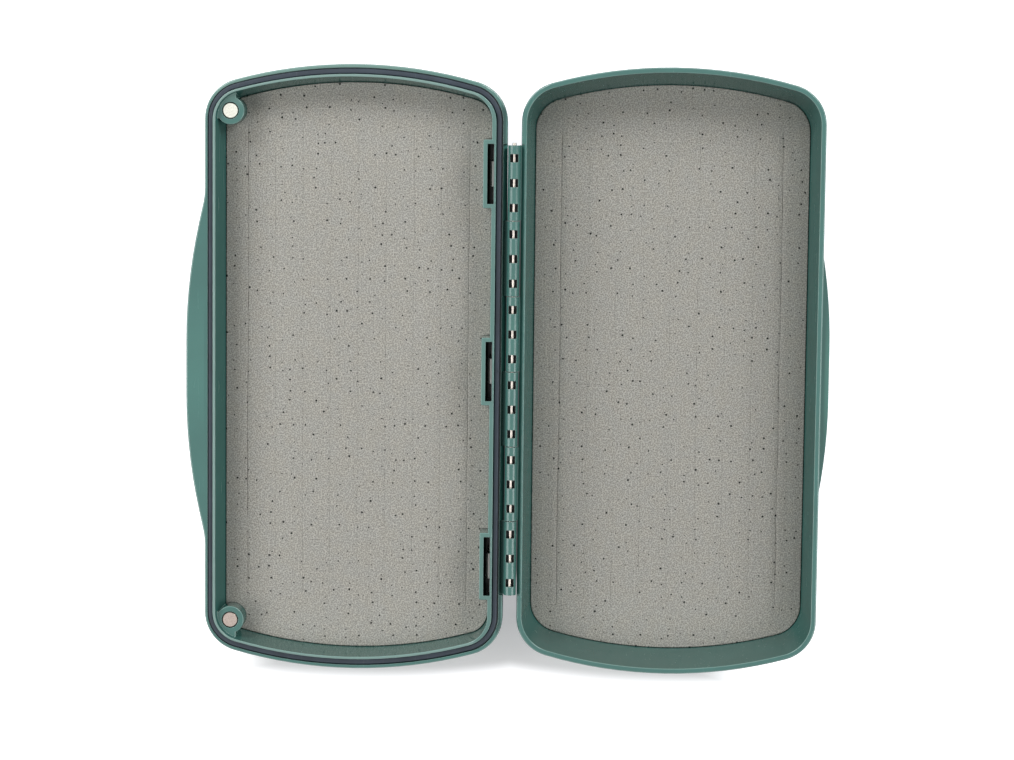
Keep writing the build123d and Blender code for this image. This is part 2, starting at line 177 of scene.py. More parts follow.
class PadSettings(PropertyGroup):
    foam_colour: colour_setting(
        "Foam colour", "Main colour of the foam pads", 0.412, 0.402, 0.366
    )
    slit_count: IntProperty(
        name="Slits",
        description="Number of cuts along each pad",
        default=9,
        min=0,
        max=15,
    )
    slit_pitch: length_setting("Slit spacing", "Distance between neighbouring cuts", 9.6)
    slit_end_margin: length_setting("Slit end margin", "Uncut foam left at each end of a pad", 14.0)
    slit_depth: length_setting("Slit depth", "How far down a cut stands open", 0.9)
    slit_opening: length_setting("Slit opening", "Half width of a cut at the surface", 0.06)
    end_bow_radius: length_setting("End bow radius", "Radius of a pad's bowed ends", 148.7)
    base_corner: length_setting("Base pad corner", "Corner radius of the pad in the base", 7.6)
    lid_corner: length_setting("Lid pad corner", "Corner radius of the pad in the lid", 10.8)
    edge_round: length_setting("Pad edge", "Rounding of the cut edge of the foam", 0.25)
    unevenness: length_setting("Unevenness", "Height of the waves in the foam's surface", 0.12)


class MetalSettings(PropertyGroup):
    pin_colour: colour_setting("Pin colour", "Colour of the hinge wire", 0.72, 0.66, 0.60)
    spring_colour: colour_setting(
        "Spring colour", "Colour of the stamped leaf springs", 0.90, 0.89, 0.85
    )
    magnet_colour: colour_setting(
        "Magnet colour", "Colour of the plated magnets", 0.86, 0.86, 0.76
    )
    worn_colour: colour_setting(
        "Worn plating colour", "Colour of the lower magnet, whose plating is thin", 0.50, 0.415, 0.37
    )


class StageSettings(PropertyGroup):
    sky_strength: share_setting("Sky strength", "Even light from all round", 0.14, high=2.0)
    back_power: power_setting(
        "Back lamps", "Power of each of the two low soft boxes behind the box", 6.9
    )
    side_power: power_setting(
        "Side lamps", "Power of the left soft box, and a little more than the right one's", 6.3
    )
    lamp_distance: FloatProperty(
        name="Lamp distance",
        description="Distance of the soft boxes from the middle of the box",
        default=1.3,
        unit="LENGTH",
    )
    floor_lift: share_setting(
        "Floor lift", "How much of the table's white is its own, so that shadows stay pale", 0.43
    )
    camera_lens: FloatProperty(
        name="Lens",
        description="Focal length of the camera",
        default=106.51,
        unit="CAMERA",
    )


# -------------------- node helpers
def opaque(colour):
    """A colour as four numbers."""
    return (colour[0], colour[1], colour[2], 1.0)


def shaded(colour, factor):
    """A colour made darker or paler."""
    return opaque([channel * factor for channel in colour])


class Wiring:
    """Adds and joins nodes in one tree with short calls."""

    def __init__(self, tree):
        self.tree = tree

    def node(self, kind, **settings):
        made = self.tree.nodes.new(kind)
        for key, value in settings.items():
            setattr(made, key, value)
        return made

    def plug(self, source, target):
        """Joins an output to an input, or sets a plain value on it."""
        if hasattr(source, "is_output"):
            self.tree.links.new(source, target)
        else:
            target.default_value = source

    def math(self, operation, first, second=None, third=None):
        made = self.node("ShaderNodeMath", operation=operation)
        for socket, value in zip(made.inputs, (first, second, third)):
            if value is not None:
                self.plug(value, socket)
        return made.outputs[0]

    def product(self, first, *others):
        """Values multiplied together, such as masks that all have to hold."""
        for other in others:
            first = self.math("MULTIPLY", first, other)
        return first

    def distance(self, value, centre):
        """How far a value is from a centre, on either side."""
        return self.math("ABSOLUTE", self.math("SUBTRACT", value, centre))

    def split(self, vector):
        """The X, Y and Z of a vector."""
        made = self.node("ShaderNodeSeparateXYZ")
        self.plug(vector, made.inputs["Vector"])
        return [made.outputs[axis] for axis in "XYZ"]

    def ramp(self, value, low, high, to_low=0.0, to_high=1.0, smooth=True):
        """A value that goes from to_low to to_high between two limits, and stays there."""
        kind = "SMOOTHSTEP" if smooth else "LINEAR"
        made = self.node("ShaderNodeMapRange", interpolation_type=kind)
        for name, given in (
            ("Value", value),
            ("From Min", low),
            ("From Max", high),
            ("To Min", to_low),
            ("To Max", to_high),
        ):
            self.plug(given, made.inputs[name])
        return made.outputs["Result"]

    def mix(self, factor, first, second, blend="MIX"):
        made = self.node("ShaderNodeMix", data_type="RGBA", blend_type=blend)
        self.plug(factor, made.inputs["Factor"])
        self.plug(first, made.inputs[6])
        self.plug(second, made.inputs[7])
        return made.outputs[2]

    def fade(self, mask, at_none, at_full, smooth=True):
        """A number that goes from one value to another as a mask fills."""
        return self.ramp(mask, 0.0, 1.0, at_none, at_full, smooth)

    def layered(self, colour, layers):
        """Colours laid over each other; a layer is (mask, share of it that shows, colour)."""
        for mask, share, over in layers:
            factor = mask if share == 1.0 else self.product(mask, share)
            colour = self.mix(factor, colour, opaque(over))
        return colour

    def noise(self, vector, scale, detail=2.0, roughness=0.5, distortion=0.0, output="Fac"):
        """Noise at a scale in cells to the metre."""
        made = self.node("ShaderNodeTexNoise")
        self.plug(vector, made.inputs["Vector"])
        self.plug(scale, made.inputs["Scale"])
        made.inputs["Detail"].default_value = detail
        made.inputs["Roughness"].default_value = roughness
        made.inputs["Distortion"].default_value = distortion
        return made.outputs[output]

    def stretch(self, vector, scale):
        made = self.node("ShaderNodeMapping")
        self.plug(vector, made.inputs["Vector"])
        self.plug(scale, made.inputs["Scale"])
        return made.outputs["Vector"]

    def effect(self, name, **values):
        """Places a shared effect with its own values, and gives its outputs."""
        made = self.node("ShaderNodeGroup", node_tree=effect_group(name))
        for label, value in values.items():
            self.plug(value, made.inputs[label.replace("_", " ")])
        return made.outputs

    def object_place(self):
        return self.node("ShaderNodeTexCoord").outputs["Object"]


# -------------------- shared effects
def soft_edge(w, radius):
    """Rounded look for moulded edges, and a mask of where they are."""
    bevel = w.node("ShaderNodeBevel", samples=6)
    w.plug(radius, bevel.inputs["Radius"])
    flat = w.node("ShaderNodeNewGeometry")
    turn = w.node("ShaderNodeVectorMath", operation="DOT_PRODUCT")
    w.plug(bevel.outputs["Normal"], turn.inputs[0])
    w.plug(flat.outputs["Normal"], turn.inputs[1])
    return bevel.outputs["Normal"], w.ramp(turn.outputs["Value"], 1.0, 0.8)


def mould_grain(w, vector, grain_scale, cloud_scale):
    """Satin grain of moulded or rubbery surfaces: height, cloudiness and rubbed places."""
    fine = w.noise(vector, grain_scale, detail=3.0, roughness=0.6)
    cloud = w.noise(vector, cloud_scale, detail=4.0, roughness=0.62)
    streak = w.stretch(vector, (900.0, 60.0, 500.0))
    scuff = w.noise(streak, 1.0, detail=3.0, roughness=0.7, distortion=0.6)
    return fine, w.ramp(cloud, 0.3, 0.7), w.ramp(scuff, 0.60, 0.72)


def scattered_flecks(w, vector, scale, share, smallest, largest):
    """Scattered irregular flecks, one at most in each cell."""
    ragged = w.noise(vector, 4200.0, detail=1.0, output="Color")
    centred = w.node("ShaderNodeVectorMath", operation="SUBTRACT")
    w.plug(ragged, centred.inputs[0])
    centred.inputs[1].default_value = (0.5, 0.5, 0.5)
    shift = w.node("ShaderNodeVectorMath", operation="SCALE")
    w.plug(centred.outputs["Vector"], shift.inputs[0])
    shift.inputs["Scale"].default_value = 0.35 * MM
    place = w.node("ShaderNodeVectorMath", operation="ADD")
    w.plug(vector, place.inputs[0])
    w.plug(shift.outputs["Vector"], place.inputs[1])
    cells = w.node("ShaderNodeTexVoronoi", voronoi_dimensions="2D", feature="F1")
    w.plug(place.outputs["Vector"], cells.inputs["Vector"])
    w.plug(scale, cells.inputs["Scale"])
    chance = w.node("ShaderNodeSeparateColor")
    w.plug(cells.outputs["Color"], chance.inputs["Color"])
    chosen = w.math("LESS_THAN", chance.outputs["Red"], share)
    spread = w.math("POWER", chance.outputs["Green"], 1.3)
    span = w.math("SUBTRACT", largest, smallest)
    radius = w.math("MULTIPLY_ADD", spread, span, smallest)
    spot = w.ramp(cells.outputs["Distance"], radius, w.product(radius, 0.7))
    return (w.product(spot, chosen),)


def drawn_marks(w, vector, stretch):
    """Fine marks drawn out along wire or strip, and a slower noise for its dull places."""
    marks = w.noise(w.stretch(vector, stretch), 1.0, detail=3.0, roughness=0.65)
    return marks, w.noise(vector, 420.0, detail=2.0, roughness=0.6)


def plating(w, vector):
    """Soft orange-peel of plating, and its tiny pits."""
    peel = w.noise(vector, 1500.0, detail=2.0, roughness=0.5)
    pits = w.effect("Flecks", Vector=vector, Cells=1100.0, Share=0.4, Smallest=0.06, Largest=0.2)
    return peel, pits["Mask"]


# Each effect: what fills its node group, its inputs with their defaults, its outputs
EFFECTS = {
    "Soft Edge": (soft_edge, {"Radius": 0.2 * MM}, ("Normal", "Edge")),
    "Mould Grain": (
        mould_grain,
        {"Vector": None, "Grain Scale": 3200.0, "Cloud Scale": 45.0},
        ("Height", "Cloud", "Rub"),
    ),
    "Flecks": (
        scattered_flecks,
        {"Vector": None, "Cells": 200.0, "Share": 0.5, "Smallest": 0.02, "Largest": 0.08},
        ("Mask",),
    ),
    "Drawn Marks": (
        drawn_marks,
        {"Vector": None, "Stretch": (9000.0, 250.0, 9000.0)},
        ("Marks", "Dull"),
    ),
    "Plating": (plating, {"Vector": None}, ("Peel", "Pits")),
}
VECTOR_SOCKETS = ("Vector", "Stretch", "Normal")


def add_socket(group, label, in_out):
    """Named socket of a node group, for a vector or for a number."""
    kind = "NodeSocketVector" if label in VECTOR_SOCKETS else "NodeSocketFloat"
    return group.interface.new_socket(label, in_out=in_out, socket_type=kind)


def effect_group(name):
    """Shader node group of an effect, built the first time that it is asked for."""
    if name in bpy.data.node_groups:
        return bpy.data.node_groups[name]
    fill, inputs, outputs = EFFECTS[name]
    group = bpy.data.node_groups.new(name, "ShaderNodeTree")
    for label, value in inputs.items():
        socket = add_socket(group, label, "INPUT")
        if value is not None:
            socket.default_value = value
    for label in outputs:
        add_socket(group, label, "OUTPUT")
    entry = group.nodes.new("NodeGroupInput")
    leave = group.nodes.new("NodeGroupOutput")
    w = Wiring(group)
    results = fill(w, *[entry.outputs[label] for label in inputs])
    for label, result in zip(outputs, results):
        w.plug(result, leave.inputs[label])
    return group


def emptied(owner):
    """Wiring of a material's or a world's own tree, with its first nodes removed."""
    owner.use_nodes = True
    owner.node_tree.nodes.clear()
    return Wiring(owner.node_tree)


def new_material(name):
    """Material with one Principled BSDF: the material, its wiring and the shader node."""
    material = bpy.data.materials.new(name)
    w = emptied(material)
    output = w.node("ShaderNodeOutputMaterial")
    surface = w.node("ShaderNodeBsdfPrincipled")
    w.plug(surface.outputs["BSDF"], output.inputs["Surface"])
    return material, w, surface


def bump(w, height, strength, distance, normal=None):
    made = w.node("ShaderNodeBump")
    w.plug(height, made.inputs["Height"])
    made.inputs["Strength"].default_value = strength
    made.inputs["Distance"].default_value = distance
    if normal is not None:
        w.plug(normal, made.inputs["Normal"])
    return made.outputs["Normal"]


# -------------------- materials
def recess_shade_mask(w, place):
    """Painted shade: 1 inside the leaf slots and the knuckles' windows, which are drawn darker and matt.
    """
    x, y, z = place
    along = w.math("ABSOLUTE", y)
    off_socket = w.math("MINIMUM", along, w.distance(along, SOCKET_SPACING))
    slots = w.product(
        w.math("LESS_THAN", off_socket, SLOT_HALF_LENGTH),
        w.math("LESS_THAN", w.distance(x, SLOT_X), SLOT_HALF_WIDTH),
        w.ramp(z, LIP_TOP_Z, LIP_TOP_Z - 1.0 * MM),
        w.math("GREATER_THAN", z, SLOT_FLOOR_Z),
    )
    windows = w.product(
        w.math("LESS_THAN", w.distance(x, PIN_X), WINDOW_HALF_WIDTH),
        w.math("LESS_THAN", along, WINDOWS_HALF_LENGTH),
        w.math("LESS_THAN", w.distance(z, PIN_Z), WINDOW_HALF_HEIGHT),
    )
    return w.math("MAXIMUM", slots, windows)


def hinge_edge_shade_mask(w, place):
    """Mask of painted shade over the narrow groove wall that runs beside the hinge."""
    x, y, _ = place
    near = w.ramp(x, 49.6 * MM, 49.9 * MM)
    far = w.ramp(x, 51.6 * MM, 51.2 * MM)
    ends = w.ramp(w.math("ABSOLUTE", y), 96.0 * MM, 88.0 * MM)
    return w.product(near, far, ends, HINGE_EDGE_SHADE_SHARE)


def barrel_turns(w, place):
    """Two masks beside the barrels: 1 along the base's own barrels, and 1 along the lid's."""
    _, y, _ = place
    hinged = w.math("LESS_THAN", w.math("ABSOLUTE", y), HINGE_HALF_LENGTH)
    onward = w.math("ADD", y, HINGE_HALF_LENGTH)
    within_pair = w.math("FLOORED_MODULO", onward, 2 * BARREL_LENGTH)
    own = w.math("LESS_THAN", within_pair, BARREL_LENGTH)
    other = w.math("SUBTRACT", 1.0, own)
    return w.product(hinged, own), w.product(hinged, other)


def barrel_root_shade_and_light_masks(w, place):
    """Masks of painted shade over the web of the base's barrels and of painted light over the slope
    beside the lid's.
    """
    own, other = barrel_turns(w, place)
    x, _, _ = place
    web_shade = w.product(own, w.ramp(x, 50.6 * MM, 50.9 * MM), w.ramp(x, 52.3 * MM, 51.9 * MM))
    short_of_barrel = w.math("LESS_THAN", x, 52.0 * MM)
    slope_light = w.product(other, w.ramp(x, 50.6 * MM, 51.0 * MM), short_of_barrel)
    return web_shade, slope_light


def tab_glint_mask(w, place):
    """Mask of a painted glint over the middle of both finger tabs, on the lid tab only its outer part.
    """
    x, y, _ = place
    base_tab = w.product(w.ramp(x, -52.1 * MM, -52.5 * MM), BASE_TAB_GLINT_SHARE)
    lid_tab = w.ramp(x, 161.5 * MM, 162.6 * MM)
    middle = w.ramp(w.math("ABSOLUTE", y), 30.0 * MM, 6.0 * MM)
    return w.product(w.math("MAXIMUM", base_tab, lid_tab), middle)


def lip_highlight_masks(w, place, upward):
    """Masks of painted highlight over the base's lip, weaker toward the hinge side, and over the far end
    of its outer rim.
    """
    x, y, z = place
    beside = w.ramp(x, FLANGE_END_X, FLANGE_END_X - 0.5 * MM)
    raised = w.ramp(z, LIP_FOOT_Z, LIP_TOP_Z)
    # Share of the painted lip highlight, less on the hinge side.
    lip_highlight_share = w.ramp(x, 41.0 * MM, 43.5 * MM, 0.85, 0.3)
    lip = w.product(raised, beside, upward, lip_highlight_share)
    far_side = w.ramp(y, 88.0 * MM, 97.0 * MM)
    fading = w.ramp(x, 5.0 * MM, 35.0 * MM, 1.0, 0.4)
    return lip, w.product(far_side, fading, beside, upward)


def rounding_highlight_mask(w, place, facing_up):
    """Mask of painted highlight over the rounded edges of the rims, but for the strip beside the hinge.
    """
    x, _, _ = place
    beside = w.ramp(x, FLANGE_END_X, FLANGE_END_X - 0.5 * MM)
    aside = w.ramp(x, 57.8 * MM, 58.2 * MM)
    turning = w.product(w.ramp(facing_up, 0.35, 0.55), w.ramp(facing_up, 0.99, 0.93))
    return w.product(turning, w.math("MAXIMUM", beside, aside))


def plastic_colour(w, settings, place, facing_up, upward, grain, edge, hinge_masks):
    """Colour of the plastic by the way a face looks and by where it is, with painted light and shade."""
    colour = settings.plastic_colour
    face = settings.upward_lit_colour
    hinge_edge_shade, web_shade, slope_light, recess_shade = hinge_masks
    # Faces that look up take the paler face colour, which is painted light.
    darker = w.mix(upward, shaded(colour, 0.95), shaded(face, 0.95))
    lighter = w.mix(upward, shaded(colour, 1.06), shaded(face, 1.06))
    clouded = w.mix(grain["Cloud"], darker, lighter)
    tab_glint = w.product(tab_glint_mask(w, place), upward)
    lip, far_rim_highlight = lip_highlight_masks(w, place, upward)
    rounding = rounding_highlight_mask(w, place, facing_up)
    scuffed = [part * gain + SCUFF_LIFT for part, gain in zip(colour, SCUFF_GAIN)]
    # Painted light and shade: a glint on the tabs, highlights on the far rim, the lip, the rounded and
    # the thin edges, shade by the hinge, on the base barrels' web and in the slots and windows, and
    # light on the slope beside the lid's barrels. The scuffs are wear.
    layers = (
        (tab_glint, 1.0, settings.tab_glint_colour),
        (far_rim_highlight, 1.0, FAR_RIM_HIGHLIGHT_COLOUR),
        (lip, 1.0, settings.lip_highlight_colour),
        (hinge_edge_shade, 1.0, shaded(colour, 0.5)),
        (web_shade, 1.0, shaded(colour, 0.8)),
        (slope_light, 1.0, shaded(colour, 3.0)),
        (rounding, 0.45, settings.edge_highlight_colour),
        (grain["Rub"], 0.12, scuffed),
        (edge["Edge"], 0.85, settings.edge_highlight_colour),
        (recess_shade, 1.0, shaded(colour, 0.2)),
    )
    return w.layered(clouded, layers)


def moulded_plastic(settings):
    """Dark teal moulded plastic with a satin grain and cloudiness; faces that look up, the edges, the
    lip, the far rim, the tabs and the slope beside the lid's barrels are painted paler as if lit, and
    the hinge strip, the web and the slots and windows painted darker as if shaded.
    """
    material, w, surface = new_material("moulded_plastic")
    vector = w.object_place()
    place = w.split(vector)
    facing_x, facing_y, facing_z = w.split(w.node("ShaderNodeTexCoord").outputs["Normal"])
    grain = w.effect("Mould Grain", Vector=vector, Grain_Scale=2600.0, Cloud_Scale=38.0)
    edge = w.effect("Soft Edge", Radius=settings.edge_softness)
    # Faces that look up take the paler, lit colour (painted light); the same mask also sets their coat.
    upward = w.ramp(facing_z, 0.2, 0.55)
    underneath = w.ramp(facing_z, -0.6, -0.9)
    sideways = w.ramp(w.math("ABSOLUTE", facing_x), 0.55, 0.85)
    endways = w.ramp(facing_y, 0.6, 0.9)
    hinge_edge_shade = hinge_edge_shade_mask(w, place)
    web_shade, slope_light = barrel_root_shade_and_light_masks(w, place)
    recess_shade = recess_shade_mask(w, place)
    masks = (hinge_edge_shade, web_shade, slope_light, recess_shade)
    toned = plastic_colour(w, settings, place, facing_z, upward, grain, edge, masks)
    w.plug(toned, surface.inputs["Base Color"])

    gloss = settings.gloss_roughness
    rough = w.fade(grain["Cloud"], gloss - 0.04, gloss + 0.05, smooth=False)
    satin = w.math("ADD", rough, w.product(grain["Rub"], 0.08))
    grained = w.fade(underneath, satin, 0.66)
    w.plug(w.fade(recess_shade, grained, 0.85), surface.inputs["Roughness"])

    sheen = w.fade(sideways, 0.5, 0.12)
    dulled = w.fade(underneath, sheen, 0.2)
    matt = w.math("MAXIMUM", recess_shade, web_shade)
    w.plug(w.fade(matt, dulled, 0.08), surface.inputs["Specular IOR Level"])

    open_face = w.math("SUBTRACT", 1.0, w.math("MAXIMUM", hinge_edge_shade, web_shade))
    glossy = w.math("MAXIMUM", w.product(upward, 0.35), endways)
    w.plug(w.product(glossy, open_face), surface.inputs["Coat Weight"])
    surface.inputs["Coat Roughness"].default_value = 0.12
    surface.inputs["IOR"].default_value = 1.5
    relief = bump(w, grain["Height"], 0.10, 0.06 * MM, edge["Normal"])
    w.plug(relief, surface.inputs["Normal"])
    return material


def seal_rubber(settings):
    """Slate silicone ring with a soft sheen and a little dust."""
    colour = settings.seal_colour
    dust = (0.16, 0.18, 0.2)
    material, w, surface = new_material("seal_rubber")
    place = w.object_place()
    grain = w.effect("Mould Grain", Vector=place, Grain_Scale=4200.0, Cloud_Scale=90.0)
    cloudy = w.mix(grain["Cloud"], shaded(colour, 0.85), shaded(colour, 1.2))
    dusty = w.layered(cloudy, ((grain["Rub"], 0.3, dust),))
    w.plug(dusty, surface.inputs["Base Color"])
    rough = w.fade(grain["Cloud"], 0.34, 0.46, smooth=False)
    w.plug(rough, surface.inputs["Roughness"])
    w.plug(bump(w, grain["Height"], 0.2, 0.06 * MM), surface.inputs["Normal"])
    surface.inputs["IOR"].default_value = 1.43
    return material


def pad_painted_light(w, place):
    """Painted light and shade on the pads' grey: the base's pad lighter by the hinge and darker by its
    free side, the lid's pad darker in the middle, lighter toward its sides and darker again next to its
    walls.
    """
    x, _, _ = place
    hinge_side_light = w.ramp(x, 30.0 * MM, 40.0 * MM, 0.0, 0.16)
    free_side_shade = w.ramp(x, -27.0 * MM, -36.0 * MM, 0.0, 0.07)
    base_tone = w.math("SUBTRACT", w.math("ADD", 1.0, hinge_side_light), free_side_shade)
    off_middle = w.distance(x, LID_MIDDLE_X)
    lid_sides = w.ramp(off_middle, 29.0 * MM, 37.0 * MM, 0.94, 1.04)
    lid_tone = w.product(lid_sides, w.ramp(off_middle, 42.0 * MM, 46.5 * MM, 1.0, 0.83))
    in_lid = w.ramp(x, 54.0 * MM, 55.0 * MM)
    return w.fade(in_lid, base_tone, lid_tone, smooth=False)


def foam_grain(w, vector, cells):
    """Grain of small cells: darker in the middle of each, over a faint unevenness."""
    beads = w.node("ShaderNodeTexVoronoi", voronoi_dimensions="2D", feature="F1")
    w.plug(vector, beads.inputs["Vector"])
    beads.inputs["Scale"].default_value = 1900.0
    beads.inputs["Randomness"].default_value = 0.9
    level = w.ramp(cells, 0.25, 0.75, 0.97, 1.03, smooth=False)
    fine = w.ramp(beads.outputs["Distance"], 0.1, 0.65, 0.65, 1.26, smooth=False)
    return w.product(level, fine)


def eva_foam(settings):
    """Closed-cell foam: fine grain, dark and pale flecks, faint mottling, and painted light and shade
    across the pads.
    """
    red, green, blue, _ = settings.foam_colour
    material, w, surface = new_material("eva_foam")
    vector = w.object_place()
    cells = w.noise(vector, 2100.0, detail=2.0, roughness=0.7)
    pores = w.noise(vector, 4600.0, detail=1.0, roughness=0.5)
    mottle = w.noise(vector, 160.0, detail=3.0, roughness=0.6)
    warm = opaque((red * 1.008, green, blue * 0.985))
    cool = opaque((red * 0.992, green, blue * 1.01))
    tinted = w.mix(w.ramp(mottle, 0.35, 0.65), warm, cool)
    shade = w.product(foam_grain(w, vector, cells), pad_painted_light(w, w.split(vector)))
    grey = w.node("ShaderNodeCombineColor")
    for channel in ("Red", "Green", "Blue"):
        w.plug(shade, grey.inputs[channel])
    toned = w.mix(1.0, tinted, grey.outputs["Color"], blend="MULTIPLY")
    for scale, share, least, most, strength, colour in FOAM_FLECKS:
        values = {"Cells": scale, "Share": share, "Smallest": least, "Largest": most}
        flecks = w.effect("Flecks", Vector=vector, **values)
        toned = w.layered(toned, ((flecks["Mask"], strength, colour),))
    w.plug(toned, surface.inputs["Base Color"])
    w.plug(w.ramp(pores, 0.3, 0.7, 0.82, 0.96, smooth=False), surface.inputs["Roughness"])
    surface.inputs["Specular IOR Level"].default_value = 0.25
    surface.inputs["Sheen Weight"].default_value = 0.06
    surface.inputs["Sheen Roughness"].default_value = 0.5
    pitted = w.math("SUBTRACT", cells, w.product(flecks["Mask"], 0.6))
    w.plug(bump(w, pitted, 0.35, 0.12 * MM), surface.inputs["Normal"])
    return material


def drawn_wire(name, colour, roughness, stretch, metallic=1.0):
    """Metal with fine marks along its length and a few dull places."""
    material, w, surface = new_material(name)
    drawn = w.effect("Drawn Marks", Vector=w.object_place(), Stretch=stretch)
    marks, dull = drawn["Marks"], drawn["Dull"]
    toned = w.mix(w.ramp(marks, 0.3, 0.7), shaded(colour, 0.82), shaded(colour, 1.05))
    tarnish = (colour[0] * 0.6, colour[1] * 0.5, colour[2] * 0.42)
    stained = w.mix(w.ramp(dull, 0.55, 0.75, 0.0, 0.35), toned, opaque(tarnish))
    w.plug(stained, surface.inputs["Base Color"])
    surface.inputs["Metallic"].default_value = metallic
    rough = w.ramp(marks, 0.3, 0.7, roughness - 0.06, roughness + 0.08, smooth=False)
    w.plug(rough, surface.inputs["Roughness"])
    w.plug(bump(w, marks, 0.2, 0.03 * MM), surface.inputs["Normal"])
    return material


def plated_magnet(name, colour):
    """Nickel plating with tiny pits and a soft orange-peel."""
    pit_colour = (0.45, 0.38, 0.32)
    material, w, surface = new_material(name)
    coat = w.effect("Plating", Vector=w.object_place())
    peel = coat["Peel"]
    toned = w.mix(w.ramp(peel, 0.3, 0.7), shaded(colour, 0.95), shaded(colour, 1.02))
    pitted = w.layered(toned, ((coat["Pits"], 0.4, pit_colour),))
    w.plug(pitted, surface.inputs["Base Color"])
    surface.inputs["Metallic"].default_value = 1.0
    w.plug(w.ramp(peel, 0.3, 0.7, 0.24, 0.34, smooth=False), surface.inputs["Roughness"])
    w.plug(bump(w, peel, 0.15, 0.05 * MM), surface.inputs["Normal"])
    return material


def dress(piece, material):
    """Gives an object its finish."""
    piece.data.materials.clear()
    piece.data.materials.append(material)


def add_object(name, data):
    """New object of the scene."""
    made = bpy.data.objects.new(name, data)
    bpy.context.scene.collection.objects.link(made)
    return made


# -------------------- foam pads
class PadOutline:
    """Plan of a foam pad: straight sides, bowed ends and rounded corners."""

    def __init__(self, half_width, apex, bow, corner):
        self.half_width = half_width
        self.apex = apex
        self.bow = bow
        self.corner = corner
        self.bow_centre = apex - bow
        self.corner_x = half_width - corner
        rise = math.sqrt((bow - corner) ** 2 - self.corner_x**2)
        self.corner_y = self.bow_centre + rise
        self.turn_x = self.corner_x * bow / (bow - corner)

    def half_length(self, x):
        """How far the pad reaches along its length at a place across it."""
        x = min(abs(x), self.half_width)
        if x > self.turn_x:
            return self.corner_y + math.sqrt(max(0.0, self.corner**2 - (x - self.corner_x) ** 2))
        return self.bow_centre + math.sqrt(self.bow**2 - x**2)

    def edge_distance(self, x, y):
        """Distance inward from the nearest edge."""
        x, y = abs(x), abs(y)
        if x > self.corner_x and y > self.corner_y:
            return self.corner - math.hypot(x - self.corner_x, y - self.corner_y)
        return min(self.half_width - x, self.bow - math.hypot(x, y - self.bow_centre))


class SlitField:
    """Row of cuts along a pad; each wanders a little, and the outer ones open furthest."""

    WANDER = 0.22 * MM
    CLOSING = 5.0 * MM
    FIRST_GAPE = 1.0
    INNER_GAPE = 0.32
    LAST_GAPE = 0.85

    def __init__(self, settings, reach, seed):
        count = settings.slit_count
        pitch = settings.slit_pitch
        self.places = [(i - (count - 1) / 2) * pitch for i in range(count)]
        self.reach = reach
        self.depth = settings.slit_depth
        self.opening = settings.slit_opening
        self.worked = [self.FIRST_GAPE] + [self.INNER_GAPE] * (count - 2) + [self.LAST_GAPE]
        self.seed = seed

    def wave(self, index, y):
        """Sideways wander of one cut."""
        return self.WANDER * noise.noise(Vector((index * 7.3 + self.seed, y * 38.0, 0.5)))

    def gape(self, index, y):
        """How open one cut stands, 0 at its ends."""
        reach = self.reach * (1.0 + 0.02 * noise.noise(Vector((index * 3.1, self.seed, 9.0))))
        taper = min(1.0, max(0.0, (reach - abs(y)) / self.CLOSING))
        patchy = 0.75 + 0.9 * noise.noise(Vector((index * 5.7, y * 170.0, self.seed)))
        return taper * self.worked[index] * min(1.5, max(0.12, patchy))


# Bosses and sockets that the base pad is notched round
BOSS_RADIUS = 4.8 * MM
BOSS_NECK = 2.0 * MM
BOSS_ARC = range(-157, 64, 9)
SOCKET_HALF_LENGTH = 11.75 * MM
SOCKET_WIDTH = 3.75 * MM
SOCKET_NOTCH_WIDTH = 10.0 * MM
SPRING_PLAY = 0.05 * MM
NOTCH_GAP = 0.08 * MM
PAST_END = 16 * MM
PAST_SIDE = 14 * MM

# Section of a slit: steps across it in half openings, and how deep each lies
SLIT_STEPS = (-3.4, -1.6, -1.0, 0.0, 1.0, 1.6, 3.4)
SLIT_DROPS = (0.0, 0.03, 0.16, 1.0, 0.16, 0.03, 0.0)
SLIT_MIDDLE = 3
NARROWEST_SLIT = 0.2

# Level of noise from which on the foam's surface is at its full height
SWELL_LEVEL = 0.35

# Where a pad's mesh is divided: millimetres in from its sides, shares of the way
# from slit to slit, and shares of the half length in from its ends
SIDE_GAPS = (0.0, 0.12, 0.3, 0.55, 1.0, 1.7, 2.6, 3.6, 5.0, 6.6)
BETWEEN_SLITS = (0.18, 0.5, 0.82)
END_GAPS = (0.0, 0.0012, 0.003, 0.0055, 0.01, 0.018, 0.03, 0.045)
ROW_COUNT = 96

# Rings of a pad's side below its rim: share of the way down, and millimetres inward
SIDE_RINGS = ((0.5, 0.05), (1.0, 0.15))


def pad_columns(outline, slits):
    """Places across the pad: (x, slit number or None, step across the slit)."""
    columns = []
    for index, place in enumerate(slits.places):
        columns += [(place, index, step) for step in range(len(SLIT_STEPS))]
    for gap in SIDE_GAPS:
        columns.append((outline.half_width - gap * MM, None, 0))
        columns.append((-outline.half_width + gap * MM, None, 0))
    walls = sorted(slits.places)
    for left, right in zip(walls, walls[1:]):
        for share in BETWEEN_SLITS:
            columns.append((left + (right - left) * share, None, 0))
    return sorted(columns, key=lambda column: column[0] + (column[2] - SLIT_MIDDLE) * 1e-6)


def pad_rows():
    """Shares of the half length, closer together at the ends."""
    inner = 1.0 - END_GAPS[-1]
    middle = [inner * (2 * i / ROW_COUNT - 1) for i in range(1, ROW_COUNT)]
    top = [1.0 - gap for gap in END_GAPS]
    return sorted([-share for share in top] + middle + top)


